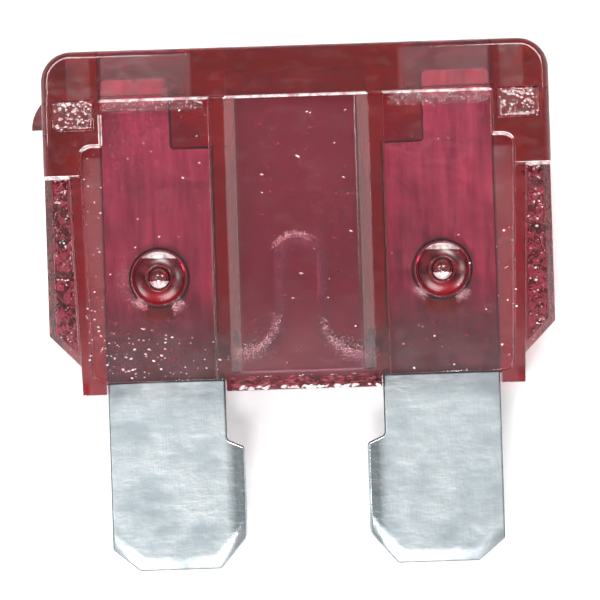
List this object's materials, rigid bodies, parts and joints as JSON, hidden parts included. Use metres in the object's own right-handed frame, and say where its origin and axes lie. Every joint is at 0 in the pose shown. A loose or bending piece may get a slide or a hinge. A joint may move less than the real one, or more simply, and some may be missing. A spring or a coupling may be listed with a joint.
{
  "type": "automotive blade fuse",
  "caption": "Flat plug-in fuse: two parallel blade terminals joined by a thin arched link, staked in a transparent red moulded housing.",
  "frame": {"origin": "middle of the back of the head's thickness plane: on the symmetry plane between the blades, half way from the blade tips to the top of the head, in the plane of the head's back face", "axes": "+Z out of the front face, +Y from the blade tips towards the head, +X to the right seen from the front"},
  "size_m": [0.0195, 0.0196, 0.0051],
  "materials": {
    "red_polycarbonate": "transparent red moulded polycarbonate, gloss windows, finely sparked wings and grip recesses",
    "tinned_zinc": "stamped zinc strip, pale satin tin finish with faint handling marks"
  },
  "bodies": {
    "root": {"housing": "red_polycarbonate", "fuse_element": "tinned_zinc"}
  },
  "joints": []
}
